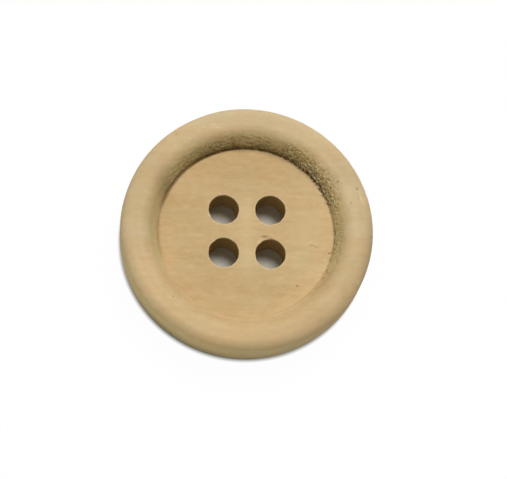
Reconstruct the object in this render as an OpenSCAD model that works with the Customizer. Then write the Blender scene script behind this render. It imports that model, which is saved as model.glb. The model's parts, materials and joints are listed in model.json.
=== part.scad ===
// Turned wooden sewing button with a raised, rounded rim, a flat recess and four thread holes.
// The flat back lies on z = 0, centred on the origin, and +Z points out of the front.
// The wood's grain runs along X, and the rows of thread holes run along X and Y.

/* [Blank] */
// Diameter of the button over its rim
button_d = 20; // [15:0.5:40]
// Thickness of the wood between the back and the recess floor
web_t = 2.7; // [1.5:0.1:6]
// Radius of the rounded edge round the back
back_edge_r = 1.6; // [0.2:0.05:2]

/* [Rim] */
// Width of the rim, from the button's side to the foot of the recess wall
rim_w = 3.05; // [2.7:0.05:4.2]
// Depth of the recess, from the crest of the rim to the floor
recess_depth = 1.8; // [1.4:0.05:3]
// Width of the level crest, between the two rounded sides of the crown
crest_w = 0.5; // [0.05:0.05:0.8]
// Radius of the rim's crown, from its crest out to the side
crown_out_r = 0.85; // [0.4:0.05:1.2]
// Radius of the rim's crown, from its crest in towards the recess
crown_in_r = 1.3; // [0.3:0.05:1.6]

/* [Thread holes] */
// Diameter of each thread hole
hole_d = 2.4; // [1:0.1:3.2]
// Distance between neighbouring hole centres, along X and along Y
hole_pitch = 3.65; // [2.8:0.05:7]

/* [Hidden] */
$fn = 128;

wood_color = [0.79, 0.68, 0.49];

// Length of each drill beyond the faces that it cuts
drill_overrun = 1;

// Straight steps in each rounded stretch of the section
arc_steps = 16;

// Radii and heights of the turned section
side_r = button_d / 2;
floor_r = side_r - rim_w;
crest_out_r = side_r - crown_out_r;
crest_in_r = crest_out_r - crest_w;
crest_z = web_t + recess_depth;

// The recess wall runs straight from the floor's edge and meets the inner crown at a tangent
foot_to_crown = [crest_in_r - floor_r, recess_depth - crown_in_r];
wall_angle = atan2(foot_to_crown.y, foot_to_crown.x) + asin(crown_in_r / norm(foot_to_crown));

function on_circle(r, angle) = r * [cos(angle), sin(angle)];

// Points along an arc, after its start and up to its end
function arc(centre, r, from, to) =
    [for (i = [1 : arc_steps]) centre + on_circle(r, from + (to - from) * i / arc_steps)];

// Half of the button's cross-section, with the radius along X and the height along Y
module turned_section() {
    back_edge = [side_r - back_edge_r, back_edge_r];
    crown_out = [crest_out_r, crest_z - crown_out_r];
    crown_in = [crest_in_r, crest_z - crown_in_r];

    polygon([
        [0, 0],
        [back_edge.x, 0],
        each arc(back_edge, back_edge_r, -90, 0),
        [side_r, crown_out.y],
        each arc(crown_out, crown_out_r, 0, 90),
        [crest_in_r, crest_z],
        each arc(crown_in, crown_in_r, 90, 90 + wall_angle),
        [floor_r, web_t],
        [0, web_t]
    ]);
}

// Drills for the thread holes, right through the web
module thread_holes() {
    half_pitch = hole_pitch / 2;
    for (x = [-half_pitch, half_pitch], y = [-half_pitch, half_pitch])
        translate([x, y, -drill_overrun])
            cylinder(d = hole_d, h = web_t + 2 * drill_overrun);
}

module button() {
    color(wood_color)
        difference() {
            rotate_extrude() turned_section();
            thread_holes();
        }
}

button();
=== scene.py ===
"""Looks of a turned wooden sewing button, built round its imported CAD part."""
import json
import math
import bpy
import numpy as np
from mathutils import Matrix, Vector, noise
from mathutils.geometry import delaunay_2d_cdt


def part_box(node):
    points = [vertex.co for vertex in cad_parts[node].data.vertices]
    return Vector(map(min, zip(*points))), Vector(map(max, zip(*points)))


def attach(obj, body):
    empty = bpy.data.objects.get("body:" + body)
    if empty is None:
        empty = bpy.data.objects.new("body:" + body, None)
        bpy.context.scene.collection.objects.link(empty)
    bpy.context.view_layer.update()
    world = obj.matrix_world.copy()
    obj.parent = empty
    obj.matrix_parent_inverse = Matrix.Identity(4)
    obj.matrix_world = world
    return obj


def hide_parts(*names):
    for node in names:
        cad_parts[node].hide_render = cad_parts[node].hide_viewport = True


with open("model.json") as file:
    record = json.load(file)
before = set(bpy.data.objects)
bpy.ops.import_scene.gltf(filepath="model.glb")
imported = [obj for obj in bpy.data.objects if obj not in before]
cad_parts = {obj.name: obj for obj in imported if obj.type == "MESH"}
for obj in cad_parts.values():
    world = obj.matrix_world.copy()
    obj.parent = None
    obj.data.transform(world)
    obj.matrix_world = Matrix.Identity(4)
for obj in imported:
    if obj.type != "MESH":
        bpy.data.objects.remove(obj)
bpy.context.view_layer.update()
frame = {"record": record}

# One millimetre in Blender's metres. Lengths below are in millimetres, angles in degrees.
MM = 0.001

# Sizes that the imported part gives
high_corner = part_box("button")[1]
bores = [mount for mount in frame["record"]["mounts"] if mount["kind"] == "bore"]
SIDE_R = high_corner.x / MM
CREST_Z = high_corner.z / MM
WEB = bores[0]["dims"]["length_mm"]
HOLE_R = bores[0]["dims"]["r_mm"]
PITCH = 2 * abs(bores[0]["pos_m"][0]) / MM

# How far each hole was drilled off the true square, by its column and row
DRIFT = {
    (-1, 1): (0.07, 0.05),
    (1, 1): (0.14, 0.05),
    (-1, -1): (0.035, 0.15),
    (1, -1): (0.095, 0.065),
}
HOLES = [(i * PITCH / 2 + dx, j * PITCH / 2 + dy) for (i, j), (dx, dy) in DRIFT.items()]

# The turned section, as in the part's source, with a small fillet at the foot of the wall.
# The slope of the wall is in radians.
RIM_W = 3.05
CREST_W = 0.5
CROWN_OUT_R = 0.85
CROWN_IN_R = 1.3
BACK_EDGE_R = 1.6
FOOT_R = 0.2
FLOOR_R = SIDE_R - RIM_W
CREST_OUT_R = SIDE_R - CROWN_OUT_R
CREST_IN_R = CREST_OUT_R - CREST_W
RECESS = CREST_Z - WEB
RISE = RECESS - CROWN_IN_R
RUN = CREST_IN_R - FLOOR_R
WALL = math.atan2(RISE, RUN) + math.asin(CROWN_IN_R / math.hypot(RUN, RISE))
WALL_LENGTH = math.sqrt(RUN ** 2 + RISE ** 2 - CROWN_IN_R ** 2)
FOOT_REACH = FOOT_R * math.tan(WALL / 2)
FLAT_R = FLOOR_R - FOOT_REACH

# Fineness of the turned surface: points round the button, and steps along the section
SEGMENTS = 720
FOOT_STEP = 0.045
WALL_STEP = 0.06
CROWN_STEP = 0.09
SIDE_STEP = 0.18

# Fineness of the holes, and the radius of their broken edges
HOLE_SEGMENTS = 96
HOLE_STEP = 0.16
EDGE_BREAK = 0.05
EDGE_STEPS = 3

# Fineness of the two flats, how many steps their grid keeps off the ring and the holes,
# and the distance between its rows as a share of the step
FLOOR_STEP = 0.12
BACK_STEP = 0.25
RING_CLEAR = 0.6
HOLE_CLEAR = 0.5
ROW_STEP = math.sqrt(0.75)

# Setting that keeps only the triangles inside the outline, and how close points count as one
INSIDE = 1
SAME_POINT = 1e-7

# Painted shade and light on the wall of a hole, by the depth below the floor: a brown painted shade from
# the edge, and a pale painted light further down. The painted light is on the near half of the wall, by
# the sine of the angle round the hole.
BORE_SHADE_DEPTH = (0.0, 0.35)
BORE_LIGHT_DEPTH = (0.7, 1.9)
NEAR_SINE = (-0.7, -0.1)


def smooth(low, high, value):
    """0 below low, 1 above high, with an even ramp between."""
    t = np.clip((value - low) / (high - low), 0, 1)
    return t * t * (3 - 2 * t)


def window(rise, fall, value):
    """0, rising to 1 over the first range and falling to 0 again over the second."""
    return smooth(*rise, value) * (1 - smooth(*fall, value))


def bell(offset, width):
    """1 where the offset is 0, and soon 0 beyond the width."""
    return np.exp(-(offset / width) ** 2)


def turn(angle):
    """Cosine and sine of an angle in radians."""
    return math.cos(angle), math.sin(angle)


def turned_section():
    """Points and outward normals from the edge of the floor over the rim to the back."""
    points = []

    def line(start, end, normal, step):
        count = max(1, round(math.dist(start, end) / step))
        for i in range(count):
            t = i / count
            r = start[0] + (end[0] - start[0]) * t
            z = start[1] + (end[1] - start[1]) * t
            points.append((r, z, *normal))

    def arc(centre, radius, start, end, step, side=1):
        count = max(2, round(radius * abs(end - start) / step))
        for i in range(count):
            c, s = turn(start + (end - start) * i / count)
            points.append((centre[0] + radius * c, centre[1] + radius * s, side * c, side * s))

    right = math.pi / 2
    c, s = turn(WALL)
    wall_low = (FLOOR_R + FOOT_REACH * c, WEB + FOOT_REACH * s)
    wall_high = (FLOOR_R + WALL_LENGTH * c, WEB + WALL_LENGTH * s)
    arc((FLAT_R, WEB + FOOT_R), FOOT_R, -right, WALL - right, FOOT_STEP, -1)
    line(wall_low, wall_high, (-s, c), WALL_STEP)
    arc((CREST_IN_R, CREST_Z - CROWN_IN_R), CROWN_IN_R, right + WALL, right, WALL_STEP)
    line((CREST_IN_R, CREST_Z), (CREST_OUT_R, CREST_Z), (0, 1), CROWN_STEP)
    arc((CREST_OUT_R, CREST_Z - CROWN_OUT_R), CROWN_OUT_R, right, 0, CROWN_STEP)
    line((SIDE_R, CREST_Z - CROWN_OUT_R), (SIDE_R, BACK_EDGE_R), (1, 0), SIDE_STEP)
    arc((SIDE_R - BACK_EDGE_R, BACK_EDGE_R), BACK_EDGE_R, 0, -right, SIDE_STEP)
    points.append((SIDE_R - BACK_EDGE_R, 0, 0, -1))
    return np.array(points)


def circle(count):
    a = np.arange(count) * 2 * math.pi / count
    return np.stack([np.cos(a), np.sin(a)], 1)


def hole_section():
    """Offsets from a hole's wall, heights and normals, from the recess floor down to the back."""
    points = []
    for i in range(EDGE_STEPS + 1):
        c, s = turn(math.pi / 2 * i / EDGE_STEPS)
        points.append((EDGE_BREAK * (1 - s), WEB - EDGE_BREAK * (1 - c), -s, c))
    straight = WEB - 2 * EDGE_BREAK
    count = round(straight / HOLE_STEP)
    for i in range(1, count):
        points.append((0, WEB - EDGE_BREAK - straight * i / count, -1, 0))
    for i in range(EDGE_STEPS + 1):
        c, s = turn(math.pi / 2 * i / EDGE_STEPS)
        points.append((EDGE_BREAK * (1 - c), EDGE_BREAK * (1 - s), -c, -s))
    return points


def plane_grid(limit, step):
    """Points of a triangular grid over the flat between the outer ring and the hole edges."""
    rows = int(limit / (step * ROW_STEP)) + 1
    columns = int(limit / step) + 1
    hole_limit = HOLE_R + EDGE_BREAK + HOLE_CLEAR * step
    found = []
    for j in range(-rows, rows + 1):
        y = j * step * ROW_STEP
        for i in range(-columns, columns + 1):
            x = (i + 0.5 * (j % 2)) * step
            if math.hypot(x, y) > limit - RING_CLEAR * step:
                continue
            if all(math.hypot(x - hx, y - hy) > hole_limit for hx, hy in HOLES):
                found.append((x, y))
    return found


class Shell:
    """Points, normals and faces of one closed surface."""

    def __init__(self):
        self.points = []
        self.normals = []
        self.bored = []
        self.faces = []

    def add(self, point, normal, bored=0.0):
        self.points.append(point)
        self.normals.append(normal)
        self.bored.append(bored)
        return len(self.points) - 1

    def band(self, rows, flip):
        """Quads between neighbouring closed rows of point numbers."""
        for upper, lower in zip(rows, rows[1:]):
            count = len(upper)
            for j in range(count):
                k = (j + 1) % count
                quad = (upper[j], lower[j], lower[k], upper[k])
                self.faces.append(quad[::-1] if flip else quad)

    def flat(self, outer, inners, step, height, limit, up):
        """Triangles of a flat face, between its outer row and the rows round its holes."""
        numbers = []
        edges = []
        for row in [outer, *inners]:
            first = len(numbers)
            numbers += row
            edges += [(first + i, first + (i + 1) % len(row)) for i in range(len(row))]
        for x, y in plane_grid(limit, step):
            numbers.append(self.add((x, y, height), (0, 0, 1 if up else -1)))
        flat_points = [Vector(self.points[n][:2]) for n in numbers]
        triangles = delaunay_2d_cdt(flat_points, edges, [], INSIDE, SAME_POINT)[2]
        for tri in triangles:
            middle = sum((flat_points[i] for i in tri), Vector((0, 0))) / 3
            if any(math.hypot(middle.x - hx, middle.y - hy) < HOLE_R for hx, hy in HOLES):
                continue
            face = tuple(numbers[i] for i in tri)
            self.faces.append(face if up else face[::-1])


def hole_wall_shading(z, sine):
    """Painted shade and light on the wall of a hole: 0 on the floor, 1 for the brown painted shade, 2
    for the pale painted light.
    """
    brown = smooth(*BORE_SHADE_DEPTH, WEB - z)
    pale = smooth(*BORE_LIGHT_DEPTH, WEB - z) * (1 - smooth(*NEAR_SINE, sine))
    return float(brown + pale)


def button_shell():
    shell = Shell()
    rim_rows = []
    around = circle(SEGMENTS)
    for r, z, nr, nz in turned_section():
        rim_rows.append([shell.add((r * c, r * s, z), (nr * c, nr * s, nz)) for c, s in around])
    shell.band(rim_rows, False)
    hole_tops = []
    hole_ends = []
    for hx, hy in HOLES:
        rows = []
        for off, z, nr, nz in hole_section():
            r = HOLE_R + off
            row = []
            for c, s in circle(HOLE_SEGMENTS):
                point = (hx + r * c, hy + r * s, z)
                row.append(shell.add(point, (nr * c, nr * s, nz), hole_wall_shading(z, s)))
            rows.append(row)
        shell.band(rows, True)
        hole_tops.append(rows[0])
        hole_ends.append(rows[-1])
    shell.flat(rim_rows[0], hole_tops, FLOOR_STEP, WEB, FLAT_R, True)
    shell.flat(rim_rows[-1], hole_ends, BACK_STEP, 0.0, SIDE_R - BACK_EDGE_R, False)
    return shell


# Wear, tool marks, and painted light and shade. Depths are how far the surface sinks below the true
# section.
# A stretch is a part of the way round the button: its middle, half width and strength.
# Its strength is full up to one share of the half width, and gone at the other.
STRETCH_FULL = 0.55
STRETCH_END = 1.25

# A noise has cycles per millimetre along the grain, across it and up, octaves, and an offset.
# Each octave is finer than the one before by a step, and weaker by a power of it.
OCTAVE_STEP = 2.0
OCTAVE_POWER = 1.0

# Heights are above the recess floor, unless a heading says otherwise. Where ranges come in pairs,
# something sets in over the first one and ends over the second.

# What the material reads at each point
TONE_NAMES = ("torn", "pits", "lips", "cut", "olive", "warm", "tone", "shade")

# How far past its limits a point still counts as on the front or on the wall
TOUCH = 0.01

# Ridges along the grain, over the whole surface
RIDGE_NOISE = dict(scale=(0.1, 2.6, 2.6), octaves=3, offset=0.0)
RIDGE_DEPTH = 0.012
RIDGE_LIMIT = 1.2

# Stretches where the button is out of round, and the radii over which that sets in
FLATTENED = ((138, 34, 0.06), (285, 30, 0.03))
FLATTENED_R = (8.8, 9.6)

# Stretches where the outer crown is worn rounder, and stretches of it with painted light and painted
# shade.
# Each fades with the distance from a line a little inside the crown.
CROWN_INSET = 0.2
WORN_CROWN = ((238, 50, 0.07),)
WORN_CROWN_W = 0.75
LIT_CROWN = ((232, 38, 0.1), (275, 22, 0.05))
SHADED_CROWN = ((316, 34, 0.12), (152, 24, 0.03))
CROWN_SHADING_W = 1.3

# Stretches of the side with painted light under the crown, painted shade towards the back, and a greener
# tint of painted shade, with their heights above the back
SIDE_FROM_R = (9.2, 9.6)
SIDE_LIT = ((245, 55, 0.17), (304, 26, 0.17))
SIDE_LIT_Z = 4.02
SIDE_LIT_W = 0.3
SIDE_SHADED = ((240, 26, 0.28), (275, 30, 0.12))
SIDE_SHADED_Z = (1.8, 2.8)
SIDE_SHADE_TINT = ((262, 85, 0.5),)
SIDE_SHADE_TINT_Z = ((1.0, 1.8), (3.9, 4.3))

# Stretches of the recess wall where the tool tore the grain: pits, raised lips and grit.
# The pits are painted darker and the lips paler, partly as their own tone and partly as painted shade
# and highlight
TORN = ((40, 30, 1.0), (95, 30, 0.5), (140, 25, 0.22), (-8, 24, 0.35))
TORN_HEIGHTS = ((-0.02, 0.04), (0.9, 1.75))
TORN_NOISE = dict(scale=(3.4, 6.5, 6.0), octaves=2, offset=7.3)
TORN_DEPTH = 0.1
PIT_RANGE = (-0.05, 0.45)
LIP_RANGE = (0.12, 0.45)
GRIT_NOISE = dict(scale=(9.0, 9.0, 9.0), octaves=1, offset=1.9)
GRIT_DEPTH = 0.05

# Stretches of the wall with broken chips: each stands up a little with a painted highlight, and has a
# small pit below it with a painted shadow
CHIPPED = ((42, 19, 1.0), (75, 18, 0.2), (12, 14, 0.35))
CHIP_HEIGHTS = ((0.05, 0.25), (0.85, 1.3))
CHIP_NOISE = dict(scale=(4.6, 6.4, 6.4), octaves=1, offset=21.3)
CHIP_STEP = 0.12
CHIP_RANGE = (0.22, 0.38)
CHIP_HIGHLIGHT_TONE = 1.6
CHIP_RISE = 0.02
CHIP_PIT_RANGE = (0.18, 0.38)
CHIP_SHADOW_TONE = 0.9
CHIP_PIT_DEPTH = 0.05

# Stretch of the inner rim with dark specks, above the torn wall
SPECKLED = ((38, 26, 0.5),)
SPECK_HEIGHTS = ((0.7, 1.0), (1.4, 1.78))
SPECK_NOISE = dict(scale=(5.0, 7.5, 7.5), octaves=1, offset=33.1)
SPECK_RANGE = (0.22, 0.42)
SPECK_DEPTH = 0.06

# Stretches of the wall with thin lifted fibres along the grain, and furrows beside them
FIBROUS = ((115, 38, 0.38), (75, 18, 0.2))
FIBRE_HEIGHTS = ((0.3, 0.5), (1.1, 1.6))
LIFTED_NOISE = dict(scale=(1.1, 3.4, 4.2), octaves=2, offset=5.7)
LIFTED_RANGE = (0.05, 0.24)
FURROW_NOISE = dict(scale=(1.1, 3.4, 4.2), octaves=2, offset=15.2)
FURROW_RANGE = (0.03, 0.18)
FURROW_TONE = 0.55
FIBRE_DEPTH = 0.03

# Stretches of the rim with a paler or warmer tone, and the radii over which they set in
PALE_RIM = ((60, 95, 0.45), (182, 34, 0.3))
PALE_RIM_R = (7.8, 9.4)
PALE_INNER_RIM = ((14, 34, 0.6), (185, 24, 0.3))
PALE_INNER_RIM_R = ((7.2, 7.9), (8.2, 9.2))
WARM_RIM = ((318, 30, 0.5),)
WARM_RIM_R = (8.8, 9.4)

# Stretches of the inner rim above the torn wall with painted light
LIT_INNER_RIM = ((32, 28, 0.42), (70, 24, 0.22))
LIT_INNER_RIM_HEIGHT = 1.0
LIT_INNER_RIM_W = 0.45

# Stretches of the wall with a greener tint of painted shade, with painted light, and with brighter and
# cooler painted light
SHADE_OLIVE_WALL = ((128, 42, 0.9), (60, 60, 0.6), (0, 26, 0.95), (185, 26, 1.0))
SHADE_OLIVE_WALL_HEIGHTS = ((0.08, 0.35), (1.0, 1.7))
FILL_LIT_WALL = ((0, 26, 0.2), (186, 30, 0.28), (36, 22, 0.24))
FILL_LIT_WALL_HEIGHTS = ((0.1, 0.3), (0.9, 1.6))
LIT_WALL = ((271, 56, 0.13),)
LIT_WALL_HEIGHTS = ((0.25, 0.6), (1.15, 1.5))
LIT_WALL_COOLING = 2.5

# Stretches of the wall's foot that the tool undercut. The corner lies off the turning axis, and is
# toothed where the wall is chipped. Painted shade in it reaches up the wall, highest at one angle.
FOOT_CUTS = ((78, 64, 1.0), (135, 30, 0.7), (186, 16, 0.24), (0, 22, 0.25))
CORNER_DRIFT = (0.035, 0.045)
CORNER_R = (FLAT_R + 0.02, FLAT_R + 0.08)
TEETH_NOISE = dict(scale=(7.0, 7.0, 2.0), octaves=1, offset=3.1)
TEETH_SIZE = 0.09
CUT_DEPTH = 0.1
CUT_HEIGHTS = (0.02, 0.35)
CUT_SHADE_TOP = 0.94
CUT_SHADE_TOP_CHANGE = 0.22
CUT_SHADE_TOP_ANGLE = 60
CUT_SHADE_OFF_LIPS = 0.5

# Stretch of the wall's foot that runs out softly, and stretches of it with painted light.
# Each fades with the distance from a line along the foot.
FOOT_LINE_R = FLOOR_R + 0.04
FOOT_LINE_HEIGHT = 0.11
SOFT_FOOT = ((268, 70, 1.0),)
FILL_DEPTH = 0.08
FILL_W = 0.48
LIT_FOOT = ((303, 30, 0.12), (206, 18, 0.1))
LIT_FOOT_W = 0.22
LIT_FOOT_R = (FLAT_R - 0.02, FLAT_R + 0.06)

# Frayed edges of the holes, and a pale ring round each one, a painted highlight on its edge
FRAY_NOISE = dict(scale=(9.0, 9.0, 3.0), octaves=2, offset=11.7)
FRAY_DEPTH = 0.045
FRAY_REACH = 0.25
FRAY_TONE = 0.35
HOLE_LIP_R = HOLE_R + 0.06
HOLE_LIP_W = 0.07
HOLE_EDGE_HIGHLIGHT = 0.2
HOLE_LIP_FRAY = 0.5

# Warmer wood on the far and left part of the floor
WARM_FLOOR = 0.5
WARM_FLOOR_Y = (1.0, 3.5)
WARM_FLOOR_X = (1.5, 4.5)

# Single marks on the front: place, direction of the long axis, half length, half width, depth, tone.
# A depth below 0 stands up, and a tone is pale above 0 and dark below it.
FRONT_MARKS = (
    ("dot on the right crown", (8.74, 3.17), 110, 0.09, 0.08, 0.05, -0.8),
    ("flake on the right crown", (9.02, 2.35), 112, 0.38, 0.13, 0.03, 0.45),
    ("edge of the flake", (8.84, 2.4), 112, 0.34, 0.08, 0.04, -0.3),
    ("dot beside the flake", (8.22, 1.95), 90, 0.07, 0.07, 0.04, -0.7),
    ("fibre beside that dot", (7.91, 2.08), 60, 0.1, 0.05, 0.0, 0.5),
    ("dot on the right side", (9.81, -0.72), 90, 0.08, 0.08, 0.04, -0.5),
    ("hooked scratch", (7.1, 3.9), 30, 0.2, 0.06, 0.03, 0.6),
    ("cut beside the scratch", (7.17, 3.77), 30, 0.18, 0.06, 0.05, -0.9),
    ("lower scratch", (7.19, 3.11), 15, 0.12, 0.05, 0.02, 0.5),
    ("speck on the floor", (4.0, -4.38), 20, 0.1, 0.06, 0.03, -0.95),
    ("spot at the floor edge", (6.6, -1.68), 90, 0.09, 0.09, 0.04, -0.95),
    ("split above the low right hole", (1.47, -0.35), 0, 0.28, 0.07, 0.05, -0.9),
    ("second split", (2.04, -0.56), -15, 0.2, 0.07, 0.05, -0.8),
    ("wrinkle on the floor", (5.09, -1.03), 25, 0.2, 0.07, 0.03, -0.4),
    ("fold beside the wrinkle", (5.06, -0.87), 25, 0.2, 0.07, -0.02, 0.4),
    ("second wrinkle", (5.47, -1.1), -20, 0.3, 0.07, 0.03, -0.4),
    ("fold beside the second wrinkle", (5.52, -0.94), -20, 0.28, 0.07, -0.02, 0.4),
    ("pale streak right of the hole", (3.91, -1.65), 0, 0.6, 0.06, 0.0, 0.25),
    ("pale streak on the left", (-4.67, -1.59), 0, 0.3, 0.05, 0.0, 0.25),
    ("spot on the left wall", (-6.36, -3.34), 60, 0.1, 0.08, 0.05, -0.8),
    ("spot on the low left rim", (-5.86, -5.76), 45, 0.07, 0.07, 0.03, -0.4),
    # The chips below stand up a little with a painted highlight, and the pits beside them sink a little
    # with a painted shadow
    ("chip in the torn wall", (5.02, 5.37), 40, 0.12, 0.08, -0.03, 0.9),
    ("pit beside the chip", (5.12, 5.2), 40, 0.12, 0.09, 0.08, -0.8),
    ("second chip", (5.55, 4.86), 140, 0.16, 0.07, -0.03, 0.9),
    ("pit beside the second chip", (5.42, 4.78), 140, 0.14, 0.08, 0.08, -0.8),
    ("third chip", (3.75, 6.24), 0, 0.12, 0.07, -0.02, 0.6),
    ("upper left rim, fleck", (-2.56, 8.4), 0, 0.1, 0.05, 0.0, 0.8),
    ("upper left rim, second fleck", (-2.25, 8.18), 0, 0.1, 0.05, 0.0, 0.8),
    ("upper left rim, third fleck", (-3.42, 8.15), 0, 0.08, 0.05, 0.0, 0.8),
    ("upper left rim, fourth fleck", (-3.78, 7.89), 0, 0.08, 0.05, 0.0, 0.8),
    ("upper left rim, streak", (-2.44, 8.43), 0, 0.55, 0.06, 0.0, 0.3),
    ("upper left rim, second streak", (-2.45, 8.2), 0, 0.55, 0.05, 0.0, 0.3),
    ("left rim, fleck", (-5.66, 6.68), 0, 0.09, 0.05, 0.0, 0.8),
    ("left rim, second fleck", (-4.56, 7.19), 0, 0.08, 0.05, 0.0, 0.7),
    ("left rim, tick", (-5.59, 7.61), 60, 0.12, 0.05, 0.03, -0.6),
    ("left wall, speck", (-5.89, 4.11), 0, 0.09, 0.05, 0.0, 0.8),
    ("left wall, second speck", (-5.95, 4.6), 0, 0.08, 0.05, 0.0, 0.8),
    ("top rim, fleck", (4.05, 7.78), 0, 0.1, 0.05, 0.0, 0.5),
    ("top rim, second fleck", (4.04, 7.45), 0, 0.1, 0.05, 0.0, 0.5),
    ("pale fibre on the far wall", (-2.79, 7.07), 0, 0.4, 0.06, 0.0, 0.5),
    ("second pale fibre on the far wall", (-1.6, 7.05), 0, 0.45, 0.06, 0.0, 0.5),
    ("third pale fibre on the far wall", (-0.27, 7.41), 0, 0.4, 0.06, 0.0, 0.4),
    ("fuzz at the upper left hole", (-2.34, 2.76), 130, 0.25, 0.06, 0.0, 0.5),
    ("fibre at the low right hole", (1.04, -0.77), 45, 0.2, 0.1, -0.02, 0.5),
    ("fuzz on the right crown", (8.6, -4.45), 60, 0.2, 0.1, 0.0, 0.4),
    ("mark at the top edge", (1.05, 9.64), 0, 0.2, 0.06, 0.02, -0.5),
    ("crack along the right foot", (7.04, -0.02), 102, 0.4, 0.1, 0.05, -0.7),
    ("crumb below the crack", (7.0, -0.85), 90, 0.12, 0.09, 0.05, -0.8),
    ("second crumb below the crack", (7.11, -1.17), 90, 0.1, 0.09, 0.05, -0.7),
    ("tick below the crumbs", (6.96, -1.44), 0, 0.16, 0.08, 0.05, -0.8),
    ("fibre beside the crumbs", (7.27, -1.01), 120, 0.2, 0.07, -0.02, 0.8),
    ("low right foot, crumb", (6.63, -2.35), 80, 0.1, 0.08, 0.05, -0.8),
    ("low right foot, second crumb", (6.31, -3.15), 60, 0.12, 0.09, 0.05, -0.9),
    ("low right foot, third crumb", (6.28, -3.4), 60, 0.1, 0.09, 0.05, -0.7),
    ("low right foot, fourth crumb", (5.98, -3.84), 20, 0.14, 0.08, 0.05, -0.7),
    ("floor edge, fibre", (6.59, -1.5), 60, 0.08, 0.07, -0.02, 0.6),
    ("floor edge, second fibre", (6.65, -1.83), 60, 0.09, 0.07, -0.02, 0.6),
    ("floor edge, third fibre", (6.25, -2.28), 0, 0.1, 0.07, -0.02, 0.4),
    ("floor edge, fourth fibre", (6.45, -2.52), 60, 0.1, 0.07, -0.02, 0.6),
    ("floor edge, fifth fibre", (5.69, -3.9), 0, 0.12, 0.07, -0.02, 0.5),
)

# Single marks on the side, whose places have heights above the back
SIDE_MARKS = (
    ("nick in the low left side", (-5.89, -8.08, 1.68), 36, 0.24, 0.14, 0.12, -0.5),
    ("pale edge beside the nick", (-5.75, -8.18, 1.95), 36, 0.24, 0.1, 0.0, 0.7),
    ("dot on the right edge", (9.58, 1.95, 4.08), 100, 0.1, 0.1, 0.05, -0.9),
    ("pale line on the left side", (-8.34, -5.51, 2.26), 120, 0.15, 0.08, 0.0, 0.4),
)

# Soft changes of tone, seen from the front: place, half widths, gain, paleness. Some of the darker ones
# are painted shade.
SHADES = (
    ("edge on the right", (9.8, -2.0), (0.6, 4.0), -0.22, 0.0),
    # Painted shade on the outer edge at the upper left
    ("edge at the upper left", (-8.4, 4.6), (1.2, 2.6), -0.03, 0.0),
    ("inner rim on the right", (7.9, 1.8), (0.7, 3.0), 0.03, 0.07),
    ("floor on the right", (4.9, -0.6), (1.8, 3.0), 0.0, 0.18),
    ("floor on the left", (-6.1, -1.7), (0.9, 1.6), 0.06, 0.0),
    ("floor beyond the holes", (-0.8, 4.6), (5.5, 2.4), -0.06, 0.0),
    ("pale wood between the upper holes", (0.08, 1.75), (0.6, 1.3), 0.0, 0.33),
    ("pale wood between the lower holes", (0.08, -1.75), (0.6, 1.3), 0.0, 0.33),
    ("pale wood in the middle", (0.08, 0.0), (1.2, 0.9), 0.0, 0.18),
    # Painted shade on the top rim, with a paler tone
    ("rim at the top", (1.5, 9.2), (5.0, 1.0), -0.1, 0.12),
    ("upper right rim", (8.4, 4.7), (1.6, 2.0), -0.1, 0.0),
    # Painted shade on the inner rim at the upper left
    ("inner rim on the upper left", (-6.6, 3.8), (0.7, 1.3), -0.2, 0.0),
    ("rim on the left", (-8.6, -1.5), (1.2, 2.2), -0.03, 0.0),
    ("streak on the low right rim", (7.5, -5.3), (0.35, 1.1), -0.05, 0.0),
    ("second streak on the low right rim", (5.6, -7.5), (1.1, 0.3), -0.05, 0.0),
    ("pale patch on the low right rim", (6.7, -5.6), (0.4, 0.9), 0.03, 0.0),
)

# Lowest height above the back that these changes reach
SHADES_FROM_Z = 0.5


def field(points, scale, octaves, offset):
    """Even noise from about -1 to 1, with its own scale along each axis."""
    spots = (points * np.array(scale) + offset).tolist()
    if octaves == 1:
        return np.array([noise.noise(p) for p in spots])
    return np.array([noise.fractal(p, OCTAVE_POWER, OCTAVE_STEP, octaves) for p in spots])


def placed_marks():
    """All single marks, with those on the front set down on the turned surface."""
    section = turned_section()
    top = section[section[:, 3] >= 0]
    for _, (x, y), *shape in FRONT_MARKS:
        yield (x, y, float(np.interp(math.hypot(x, y), top[:, 0], top[:, 1]))), shape
    for _, place, *shape in SIDE_MARKS:
        yield place, shape


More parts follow.
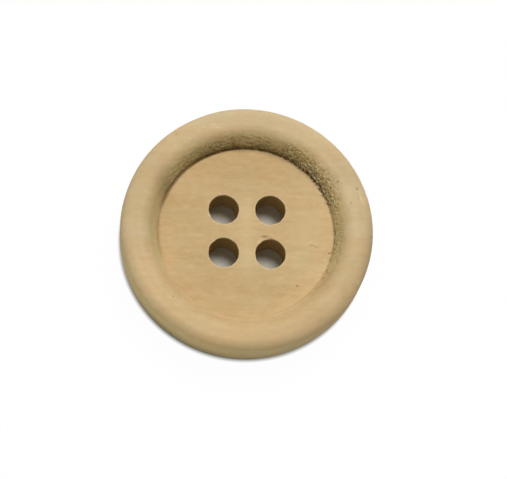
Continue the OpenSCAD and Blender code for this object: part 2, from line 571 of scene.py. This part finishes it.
class Surface:
    """The button's points, how far each one sinks, and the tones that go with that."""

    def __init__(self, points, bored):
        self.points = points
        self.x, self.y, self.z = points.T
        self.r = np.hypot(self.x, self.y)
        self.angle = np.degrees(np.arctan2(self.y, self.x))
        self.height = self.z - WEB
        self.in_front = self.height > -TOUCH
        self.on_wall = self.in_front & (self.r > FLAT_R - TOUCH) & (self.r < CREST_IN_R)
        self.sink = np.zeros(len(points))
        self.tones = {name: np.zeros(len(points)) for name in TONE_NAMES}
        self.tones["bored"] = bored

    def along(self, stretches):
        """Strength round the button of a set of soft-ended stretches."""
        total = np.zeros_like(self.angle)
        for middle, half, strength in stretches:
            off = np.abs((self.angle - middle + 180) % 360 - 180)
            fade = smooth(STRETCH_FULL * half, STRETCH_END * half, off)
            total = np.maximum(total, strength * (1 - fade))
        return total

    def up_wall(self, stretches, heights):
        """Strength on the wall of a set of stretches, between heights above the floor."""
        return self.along(stretches) * window(*heights, self.height) * self.on_wall

    def wall_noise(self, settings, shift=0.0):
        """Noise on the wall, and 0 elsewhere."""
        values = np.zeros(len(self.points))
        values[self.on_wall] = field((self.points + shift)[self.on_wall], **settings)
        return values

    def ridges(self):
        ridge = field(self.points, **RIDGE_NOISE)
        self.sink += RIDGE_DEPTH * np.clip(0.5 + 0.5 * ridge, 0, RIDGE_LIMIT)

    def crown_and_side(self):
        self.sink += self.along(FLATTENED) * smooth(*FLATTENED_R, self.r)
        from_crown = np.hypot(self.r - SIDE_R + CROWN_INSET, self.z - CREST_Z + CROWN_INSET)
        self.sink += self.along(WORN_CROWN) * bell(from_crown, WORN_CROWN_W)
        # Painted light and shade on the outer crown
        crown_shading = self.along(LIT_CROWN) - self.along(SHADED_CROWN)
        self.tones["shade"] += crown_shading * bell(from_crown, CROWN_SHADING_W)
        on_side = smooth(*SIDE_FROM_R, self.r)
        # Painted light under the crown, painted shade towards the back, and a greener tint of painted
        # shade on the side
        under_crown = bell(self.z - SIDE_LIT_Z, SIDE_LIT_W)
        self.tones["shade"] += self.along(SIDE_LIT) * under_crown * on_side
        self.tones["shade"] -= self.along(SIDE_SHADED) * (1 - smooth(*SIDE_SHADED_Z, self.z)) * on_side
        self.tones["olive"] += self.along(SIDE_SHADE_TINT) * window(*SIDE_SHADE_TINT_Z, self.z) * on_side

    def torn_wall(self):
        torn = self.up_wall(TORN, TORN_HEIGHTS)
        chatter = self.wall_noise(TORN_NOISE)
        pits = smooth(*PIT_RANGE, chatter)
        grit = self.wall_noise(GRIT_NOISE)
        self.sink += torn * (TORN_DEPTH * pits + GRIT_DEPTH * grit)
        self.tones["torn"] += torn
        self.tones["pits"] += torn * pits
        self.tones["lips"] += torn * smooth(*LIP_RANGE, -chatter)

    def chips(self):
        chipped = self.up_wall(CHIPPED, CHIP_HEIGHTS)
        out, up = turn(WALL)
        around = np.radians(self.angle)
        slope = [np.cos(around) * out, np.sin(around) * out, np.full_like(around, up)]
        higher = CHIP_STEP * np.stack(slope, 1)
        chip = smooth(*CHIP_RANGE, self.wall_noise(CHIP_NOISE))
        pit = smooth(*CHIP_PIT_RANGE, self.wall_noise(CHIP_NOISE, higher)) * (1 - chip)
        # Painted highlight on each chip and painted shadow in the pit below it
        self.tones["tone"] += chipped * (CHIP_HIGHLIGHT_TONE * chip - CHIP_SHADOW_TONE * pit)
        self.sink += chipped * (CHIP_PIT_DEPTH * pit - CHIP_RISE * chip)

    def specks(self):
        speck = smooth(*SPECK_RANGE, self.wall_noise(SPECK_NOISE))
        speck *= self.up_wall(SPECKLED, SPECK_HEIGHTS)
        self.tones["tone"] -= speck
        self.sink += SPECK_DEPTH * speck

    def fibres(self):
        fibrous = self.up_wall(FIBROUS, FIBRE_HEIGHTS)
        lifted = 1 - smooth(*LIFTED_RANGE, np.abs(self.wall_noise(LIFTED_NOISE)))
        furrow = 1 - smooth(*FURROW_RANGE, np.abs(self.wall_noise(FURROW_NOISE)))
        self.tones["tone"] += fibrous * (lifted - FURROW_TONE * furrow * (1 - lifted))
        self.sink += fibrous * FIBRE_DEPTH * (furrow - lifted)

    def wall_and_rim_tones(self):
        # Greener tint of painted shade, painted light, and brighter, cooler painted light on the wall
        self.tones["olive"] += self.up_wall(SHADE_OLIVE_WALL, SHADE_OLIVE_WALL_HEIGHTS)
        self.tones["tone"] += self.up_wall(FILL_LIT_WALL, FILL_LIT_WALL_HEIGHTS)
        lit = self.up_wall(LIT_WALL, LIT_WALL_HEIGHTS)
        self.tones["shade"] += lit
        self.tones["warm"] -= LIT_WALL_COOLING * lit
        # Painted light on the inner rim above the torn wall
        inner_rim = bell(self.height - LIT_INNER_RIM_HEIGHT, LIT_INNER_RIM_W) * self.on_wall
        self.tones["shade"] += self.along(LIT_INNER_RIM) * inner_rim
        rim_warmth = self.along(WARM_RIM) * smooth(*WARM_RIM_R, self.r)
        rim_warmth -= self.along(PALE_RIM) * smooth(*PALE_RIM_R, self.r)
        rim_warmth -= self.along(PALE_INNER_RIM) * window(*PALE_INNER_RIM_R, self.r)
        self.tones["warm"] += rim_warmth * self.in_front

    def undercut(self):
        """The corner that the tool cut at the wall's foot. It comes after the torn wall."""
        corner_r = np.hypot(self.x - CORNER_DRIFT[0], self.y - CORNER_DRIFT[1])
        corner_r += TEETH_SIZE * self.wall_noise(TEETH_NOISE) * self.along(CHIPPED)
        in_corner = smooth(*CORNER_R, corner_r) * self.in_front * (self.r < CREST_IN_R)
        cut = self.along(FOOT_CUTS) * in_corner
        self.sink += CUT_DEPTH * cut * (1 - smooth(*CUT_HEIGHTS, self.height))
        # Painted shade in and above the undercut corner
        cut_shade_top = CUT_SHADE_TOP + CUT_SHADE_TOP_CHANGE * np.cos(np.radians(self.angle - CUT_SHADE_TOP_ANGLE))
        cut_shade = 1 - smooth(0.0, 1.0, self.height / cut_shade_top)
        self.tones["cut"] += cut * cut_shade * (1 - CUT_SHADE_OFF_LIPS * self.tones["lips"])

    def foot(self):
        from_foot = np.hypot(self.r - FOOT_LINE_R, self.height - FOOT_LINE_HEIGHT)
        self.sink -= FILL_DEPTH * self.along(SOFT_FOOT) * bell(from_foot, FILL_W) * self.in_front
        # Painted light along the foot
        lit = self.along(LIT_FOOT) * bell(from_foot, LIT_FOOT_W)
        self.tones["shade"] += lit * smooth(*LIT_FOOT_R, self.r) * self.in_front

    def hole_edges(self):
        fray = field(self.points, **FRAY_NOISE)
        near_edge = bell(WEB - self.z, FRAY_REACH) * (self.tones["bored"] > 0)
        self.sink += FRAY_DEPTH * fray * near_edge
        self.tones["tone"] += FRAY_TONE * np.clip(fray, 0, 1) * near_edge
        # A pale ring round each hole, a painted highlight on its edge
        for hx, hy in HOLES:
            from_lip = np.hypot(self.x - hx, self.y - hy) - HOLE_LIP_R
            lip = bell(from_lip, HOLE_LIP_W) * self.in_front
            self.tones["tone"] += lip * np.clip(HOLE_EDGE_HIGHLIGHT + HOLE_LIP_FRAY * fray, 0, 1)

    def single_marks(self):
        for place, (direction, half_length, half_width, depth, tone) in placed_marks():
            off = self.points - np.array(place)
            lengthwise = off @ np.array((*turn(math.radians(direction)), 0))
            crosswise = np.sqrt(np.maximum((off * off).sum(1) - lengthwise ** 2, 0))
            weight = bell(lengthwise, half_length) * bell(crosswise, half_width)
            self.sink += depth * weight
            self.tones["tone"] += tone * weight

    def soft_shades(self):
        for _, (px, py), (half_x, half_y), gain, paleness in SHADES:
            weight = bell(self.x - px, half_x) * bell(self.y - py, half_y)
            weight *= self.z > SHADES_FROM_Z
            self.tones["shade"] += gain * weight
            self.tones["tone"] += paleness * weight
        far_left = smooth(*WARM_FLOOR_Y, self.y) * (1 - smooth(*WARM_FLOOR_X, self.x))
        on_floor = (1 - smooth(FLAT_R, FLOOR_R, self.r)) * self.in_front
        self.tones["warm"] += WARM_FLOOR * far_left * on_floor

    def wear_and_shading(self):
        self.ridges()
        self.crown_and_side()
        self.torn_wall()
        self.chips()
        self.specks()
        self.fibres()
        self.wall_and_rim_tones()
        self.undercut()
        self.foot()
        self.hole_edges()
        self.single_marks()
        self.soft_shades()


def make_button():
    shell = button_shell()
    points = np.array(shell.points)
    normals = np.array(shell.normals)
    normals /= np.linalg.norm(normals, axis=1)[:, None]
    surface = Surface(points, np.array(shell.bored))
    surface.wear_and_shading()
    worn = points - normals * surface.sink[:, None]
    worn[:, 2] = np.clip(worn[:, 2], 0, CREST_Z)
    mesh = bpy.data.meshes.new("wooden_button")
    mesh.from_pydata((worn * MM).tolist(), [], shell.faces)
    mesh.polygons.foreach_set("use_smooth", [True] * len(mesh.polygons))
    for name, values in surface.tones.items():
        layer = mesh.attributes.new(name, "FLOAT", "POINT")
        layer.data.foreach_set("value", values.astype(np.float32))
    mesh.validate()
    mesh.update()
    mesh.materials.append(raw_wood())
    button = bpy.data.objects.new("wooden_button", mesh)
    bpy.context.scene.collection.objects.link(button)
    return button


class Nodes:
    """A material's or world's node tree, with short ways to add to it."""

    def __init__(self, tree):
        self.tree = tree

    def add(self, kind, inputs=None, **settings):
        made = self.tree.nodes.new(kind)
        for name, value in settings.items():
            setattr(made, name, value)
        for name, value in (inputs or {}).items():
            self.feed(made.inputs[name], value)
        return made

    def feed(self, socket, value):
        if isinstance(value, bpy.types.NodeSocket):
            self.tree.links.new(value, socket)
        else:
            socket.default_value = value

    def math(self, operation, a, b=0.0):
        return self.add("ShaderNodeMath", {0: a, 1: b}, operation=operation).outputs[0]

    def vector(self, operation, a, b):
        return self.add("ShaderNodeVectorMath", {0: a, 1: b}, operation=operation).outputs[0]

    def length(self, vector):
        made = self.add("ShaderNodeVectorMath", {0: vector}, operation="LENGTH")
        return made.outputs["Value"]

    def figure(self, place, scale, detail, roughness):
        """Noise with its own scale along each axis."""
        spot = self.vector("MULTIPLY", place, scale)
        inputs = {"Vector": spot, "Scale": 1.0, "Detail": detail, "Roughness": roughness}
        return self.add("ShaderNodeTexNoise", inputs).outputs["Fac"]

    def span(self, value, low, high, to_low=0.0, to_high=1.0):
        """One range of values turned into another, and held at its ends."""
        inputs = {"Value": value, "From Min": low, "From Max": high, "To Min": to_low, "To Max": to_high}
        return self.add("ShaderNodeMapRange", inputs).outputs[0]

    def attribute(self, name):
        return self.add("ShaderNodeAttribute", attribute_name=name).outputs["Fac"]

    def mix(self, factor, a, b, blend="MIX"):
        """Mix of two colours, by the numbers of the node's sockets for colours."""
        made = self.add("ShaderNodeMix", data_type="RGBA", blend_type=blend)
        for number, value in ((0, factor), (6, a), (7, b)):
            self.feed(made.inputs[number], value)
        return made.outputs[2]

    def gain(self, base, value):
        """A colour times a grey value."""
        grey = self.add("ShaderNodeCombineColor", {0: value, 1: value, 2: value}).outputs[0]
        return self.mix(1.0, base, grey, "MULTIPLY")

    def tinted(self, base, value, low_tint, high_tint):
        """A colour times a tint that goes from one to the other."""
        return self.mix(1.0, base, self.mix(value, low_tint, high_tint), "MULTIPLY")

    def washed(self, base, factor, tint):
        """A colour that a tint multiplies as far as the factor says."""
        return self.mix(factor, base, self.mix(1.0, base, tint, "MULTIPLY"))


def colour(r, g, b):
    return (r, g, b, 1.0)


# Tones of the wood, and of painted light and shade on it, as linear colours
DARK_BAND = colour(0.528, 0.366, 0.178)
MID_BAND = colour(0.55, 0.388, 0.194)
PALE_BAND = colour(0.572, 0.416, 0.218)
RIM_TINT = colour(1.1, 1.112, 1.18)
# Greener tint of painted shade on the side and the wall
SHADE_OLIVE_TINT = colour(0.955, 1.055, 0.95)
WARM_TINT = colour(1.0, 0.94, 0.88)
COOL_TINT = colour(0.985, 1.07, 1.2)
ROSY_TINT = colour(1.02, 0.988, 0.97)
SALLOW_TINT = colour(0.985, 1.012, 1.025)
DARK_STREAK = colour(0.955, 0.945, 0.91)
PALE_STREAK = colour(1.045, 1.055, 1.09)
DARK_CLOUD = colour(0.955, 0.95, 0.93)
PALE_CLOUD = colour(1.045, 1.05, 1.07)
# Dark of marks and pits, and of painted shade in pits and the undercut corner
DARK_MARK_AND_SHADE = colour(0.1, 0.056, 0.013)
# Pale of torn fibres and marks, and of painted light and highlights
PALE_FIBRE_AND_LIGHT = colour(0.74, 0.605, 0.365)
# Painted highlight on the chips
CHIP_HIGHLIGHT = colour(0.93, 0.78, 0.5)
# Painted shade and painted light on the walls of the holes
BORE_SHADE_BROWN = colour(0.295, 0.178, 0.062)
BORE_LIGHT_PALE = colour(0.8, 0.77, 0.68)

# Figure of the wood, with scales as cycles per millimetre along the grain, across it and up
BANDS = dict(scale=(0.08, 0.42, 0.3), detail=3.0, roughness=0.5)
STREAKS = dict(scale=(0.45, 2.4, 2.0), detail=4.0, roughness=0.55)
FIBRES = dict(scale=(2.4, 9.0, 8.0), detail=3.0, roughness=0.5)
CLOUDS = dict(scale=(1.6, 2.4, 2.4), detail=3.0, roughness=0.6)
MOTTLE = dict(scale=(0.4, 0.6, 0.6), detail=3.0, roughness=0.5)
CRUMBS = dict(scale=(5.0, 8.0, 8.0), detail=3.0, roughness=0.6)

# Faint rings left by the lathe, per millimetre of radius
RINGS = dict(scale=(2.2, 0.0, 0.0), detail=2.0, roughness=0.5)

# Ranges of the noise over which a figure goes from its low tone to its high one, and its gains
BAND_STOPS = ((0.3, DARK_BAND), (0.5, MID_BAND), (0.7, PALE_BAND))
FIGURE_RANGE = (0.3, 0.7)
FIBRE_RANGE = (0.25, 0.75)
FIBRE_GAIN = (0.96, 1.04)
MOTTLE_RANGE = (0.35, 0.65)
RING_GAIN = (0.99, 1.01)
CRUMB_GAIN = (0.3, 1.7)

# Radii between which the floor's colour turns into the rim's, and how much of the figure
# shows on the smoother rim
RIM_FROM_R = (7.6, 8.5)
RIM_FIGURE = 0.6

# How much of its own colour each kind of torn wood takes. The lips' pale is partly painted highlight,
# the pits' dark partly painted shade, and the undercut's dark painted shade
LIPS_SHARE = 0.6
PITS_SHARE = 0.2
CUT_SHARE = 0.85

# Gloss and bump of the wood
WOOD_ROUGHNESS = 0.85
WOOD_SPECULAR = 0.2
GRAIN_BUMP = 0.5
CRUMB_BUMP = 3.0
BUMP_STRENGTH = 0.6
BUMP_DISTANCE = 0.02


def raw_wood():
    material = bpy.data.materials.new("raw_wood")
    material.use_nodes = True
    n = Nodes(material.node_tree)
    shader = material.node_tree.nodes["Principled BSDF"]
    place = n.add("ShaderNodeTexCoord").outputs["Object"]
    mm = n.vector("MULTIPLY", place, (1 / MM, 1 / MM, 1 / MM))
    radius = n.length(n.vector("MULTIPLY", mm, (1, 1, 0)))

    band = n.figure(mm, **BANDS)
    streak = n.figure(mm, **STREAKS)
    fibre = n.figure(mm, **FIBRES)
    cloud = n.figure(mm, **CLOUDS)
    mottle = n.figure(mm, **MOTTLE)
    crumbs = n.figure(mm, **CRUMBS)
    rings = n.figure(n.add("ShaderNodeCombineXYZ", {0: radius}).outputs[0], **RINGS)

    ramp = n.add("ShaderNodeValToRGB", {"Fac": band})
    stops = ramp.color_ramp.elements
    stops.new(BAND_STOPS[1][0])
    for stop, (position, tone) in zip(stops, BAND_STOPS):
        stop.position = position
        stop.color = tone
    on_rim = n.span(radius, *RIM_FROM_R)
    base = n.washed(ramp.outputs["Color"], on_rim, RIM_TINT)
    figured = n.tinted(base, n.span(streak, *FIGURE_RANGE), DARK_STREAK, PALE_STREAK)
    figured = n.tinted(figured, n.span(cloud, *FIGURE_RANGE), DARK_CLOUD, PALE_CLOUD)
    figured = n.gain(figured, n.span(fibre, *FIBRE_RANGE, *FIBRE_GAIN))
    base = n.mix(n.span(on_rim, 0, 1, 1, RIM_FIGURE), base, figured)
    base = n.gain(base, n.span(rings, *FIGURE_RANGE, *RING_GAIN))
    base = n.tinted(base, n.span(mottle, *MOTTLE_RANGE), ROSY_TINT, SALLOW_TINT)
    # Gains of painted light and shade on the crown, side, wall and foot, and of some changes of tone
    base = n.gain(base, n.math("ADD", n.attribute("shade"), 1.0))

    torn = n.attribute("torn")
    base = n.mix(torn, base, n.gain(base, n.span(crumbs, *FIGURE_RANGE, *CRUMB_GAIN)))
    # Greener tint of painted shade on the side and the wall
    base = n.washed(base, n.attribute("olive"), SHADE_OLIVE_TINT)
    warm = n.attribute("warm")
    base = n.washed(base, n.span(warm, 0, 1), WARM_TINT)
    base = n.washed(base, n.span(warm, 0, -1), COOL_TINT)
    # Pale lips of torn wood, partly painted highlight
    base = n.mix(n.math("MULTIPLY", n.attribute("lips"), LIPS_SHARE), base, PALE_FIBRE_AND_LIGHT)
    # Dark pits of torn wood, partly painted shade
    base = n.mix(n.math("MULTIPLY", n.attribute("pits"), PITS_SHARE), base, DARK_MARK_AND_SHADE)
    # Painted shade in and above the undercut corner
    base = n.mix(n.math("MULTIPLY", n.attribute("cut"), CUT_SHARE), base, DARK_MARK_AND_SHADE)
    tone = n.attribute("tone")
    base = n.mix(n.span(tone, 0, 1), base, PALE_FIBRE_AND_LIGHT)
    # Painted highlight on the chips
    base = n.mix(n.span(tone, 1, 2), base, CHIP_HIGHLIGHT)
    base = n.mix(n.span(tone, 0, -1), base, DARK_MARK_AND_SHADE)
    # Painted shade and painted light on the walls of the holes
    bored = n.attribute("bored")
    base = n.mix(n.span(bored, 0, 1), base, BORE_SHADE_BROWN)
    base = n.mix(n.span(bored, 1, 2), base, BORE_LIGHT_PALE)
    n.feed(shader.inputs["Base Color"], base)
    shader.inputs["Roughness"].default_value = WOOD_ROUGHNESS
    shader.inputs["Specular IOR Level"].default_value = WOOD_SPECULAR

    grain = n.math("MULTIPLY", n.math("ADD", streak, fibre), GRAIN_BUMP)
    rough = n.math("MULTIPLY", n.math("MULTIPLY", crumbs, torn), CRUMB_BUMP)
    relief = {"Height": n.math("ADD", grain, rough), "Strength": BUMP_STRENGTH}
    bump = n.add("ShaderNodeBump", {**relief, "Distance": BUMP_DISTANCE * MM})
    n.feed(shader.inputs["Normal"], bump.outputs[0])
    return material


# Light: a soft lamp beyond the button, a wide weak one in front, and a weak even fill.
# The levels are shares of the light on a level surface, and add up to 1.
LAMP_DISTANCE = 600
KEY_LAMP = dict(azimuth=71, height=63, size=290, level=0.835, tint=(1.0, 0.99, 0.98))
FRONT_LAMP = dict(azimuth=228, height=36, size=660, level=0.095, tint=(0.95, 1.0, 0.86))
EVEN_LEVEL = 0.07
EVEN_TINT = (0.96, 1.0, 0.93)
WHITE = colour(1.0, 1.0, 1.0)


def show_white(n, factor=1.0):
    """The factor for what the camera sees directly, in a mirror or through glass, and 0 otherwise."""
    path = n.add("ShaderNodeLightPath").outputs
    seen = n.math("MAXIMUM", path["Is Camera Ray"], path["Is Glossy Ray"])
    seen = n.math("MAXIMUM", seen, path["Is Transmission Ray"])
    return n.math("MULTIPLY", seen, factor)


def make_lamp(name, azimuth, height, size, level, tint):
    flat, up = turn(math.radians(height))
    c, s = turn(math.radians(azimuth))
    towards = Vector((flat * c, flat * s, up))
    data = bpy.data.lights.new(name, "AREA")
    data.shape = "DISK"
    data.size = size * MM
    data.color = tint
    reach = math.hypot(LAMP_DISTANCE, size / 2) * MM
    data.energy = level * (math.pi * reach) ** 2 / up
    lamp = bpy.data.objects.new(name, data)
    bpy.context.scene.collection.objects.link(lamp)
    lamp.location = towards * LAMP_DISTANCE * MM
    lamp.rotation_euler = towards.to_track_quat("Z", "Y").to_euler()


def make_lights():
    make_lamp("key", **KEY_LAMP)
    make_lamp("front", **FRONT_LAMP)
    world = bpy.data.worlds.new("studio")
    bpy.context.scene.world = world
    world.use_nodes = True
    n = Nodes(world.node_tree)
    fill = world.node_tree.nodes["Background"]
    fill.inputs["Color"].default_value = colour(*EVEN_TINT)
    fill.inputs["Strength"].default_value = EVEN_LEVEL
    white = n.add("ShaderNodeBackground", {"Color": WHITE, "Strength": 1.0})
    both = n.add("ShaderNodeMixShader", {0: show_white(n), 1: fill.outputs[0], 2: white.outputs[0]})
    n.feed(world.node_tree.nodes["World Output"].inputs[0], both.outputs[0])


# Paper that the button lies on. It is darker under the button and near it than in the open, as painted
# shade.
# To the camera it is white from an oval round the button outwards. The oval is a little longer
# along X than a circle, and a little off the middle.
PAPER_SIZE = 3000
PAPER_WHITE = colour(0.92, 0.92, 0.92)
PAPER_SHADE = colour(0.64, 0.625, 0.56)
PAPER_ROUGHNESS = 0.9
PAPER_GLOW = 0.98
GLOW_FROM = 9.65
GLOW_FULL = 10.0
GLOW_SHAPE = (0.988, 1.0, 1.0)
GLOW_SHIFT = 0.03
OPEN_FROM = 12.5


def make_paper():
    bpy.ops.mesh.primitive_plane_add(size=PAPER_SIZE * MM)
    paper = bpy.context.object
    paper.name = "paper"
    material = bpy.data.materials.new("paper")
    material.use_nodes = True
    n = Nodes(material.node_tree)
    shader = material.node_tree.nodes["Principled BSDF"]
    place = n.add("ShaderNodeNewGeometry").outputs["Position"]
    from_middle = n.vector("ADD", place, (GLOW_SHIFT * MM, 0.0, 0.0))
    distance = n.length(n.vector("MULTIPLY", from_middle, GLOW_SHAPE))
    clear = n.span(distance, GLOW_FROM * MM, GLOW_FULL * MM)
    open_paper = n.span(distance, GLOW_FROM * MM, OPEN_FROM * MM)
    # Painted shade: the paper is darker under the button and near it
    n.feed(shader.inputs["Base Color"], n.mix(open_paper, PAPER_SHADE, PAPER_WHITE))
    shader.inputs["Roughness"].default_value = PAPER_ROUGHNESS
    shader.inputs["Specular IOR Level"].default_value = 0.0
    white = n.add("ShaderNodeEmission", {"Color": WHITE, "Strength": 1.0})
    glow = n.math("MULTIPLY", show_white(n, PAPER_GLOW), clear)
    both = n.add("ShaderNodeMixShader", {0: glow, 1: shader.outputs[0], 2: white.outputs[0]})
    n.feed(material.node_tree.nodes["Material Output"].inputs[0], both.outputs[0])
    paper.data.materials.append(material)


# Camera: the photo's frame and its viewing angle. The tilt is off the button's axis, and the far
# side is the angle round the button that it looks towards. Some sizes are in pixels of the photo.
IMAGE_W = 507
IMAGE_H = 479
FOCAL_PX = 1985
ORIGIN_PX = (243.45, 242.15)
SENSOR_W = 36
CLIP_START = 10
CAM_DISTANCE = 160
CAM_TILT = 17.4
FAR_SIDE = 74.95


def make_camera():
    tilt = math.radians(CAM_TILT)
    far_side = math.radians(FAR_SIDE)
    far = Vector((math.cos(far_side), math.sin(far_side), 0))
    side = Vector((math.sin(far_side), -math.cos(far_side), 0))
    forward = far * math.sin(tilt) - Vector((0, 0, math.cos(tilt)))
    away = far * math.cos(tilt) + Vector((0, 0, math.sin(tilt)))
    right = away * math.cos(far_side) + side * math.sin(far_side)
    up = away * math.sin(far_side) - side * math.cos(far_side)
    data = bpy.data.cameras.new("camera")
    data.sensor_width = SENSOR_W
    data.lens = FOCAL_PX * SENSOR_W / IMAGE_W
    data.clip_start = CLIP_START * MM
    camera = bpy.data.objects.new("camera", data)
    bpy.context.scene.collection.objects.link(camera)
    place = Matrix((right, up, -forward)).transposed().to_4x4()
    across = (IMAGE_W / 2 - ORIGIN_PX[0]) / FOCAL_PX
    down = (ORIGIN_PX[1] - IMAGE_H / 2) / FOCAL_PX
    aim = (forward + right * across + up * down).normalized()
    place = forward.rotation_difference(aim).to_matrix().to_4x4() @ place
    place.translation = -forward * CAM_DISTANCE * MM
    camera.matrix_world = place
    bpy.context.scene.camera = camera


bpy.context.scene.view_settings.view_transform = "Standard"
make_camera()
make_lights()
make_paper()
button = make_button()
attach(button, "root")
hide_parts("button")
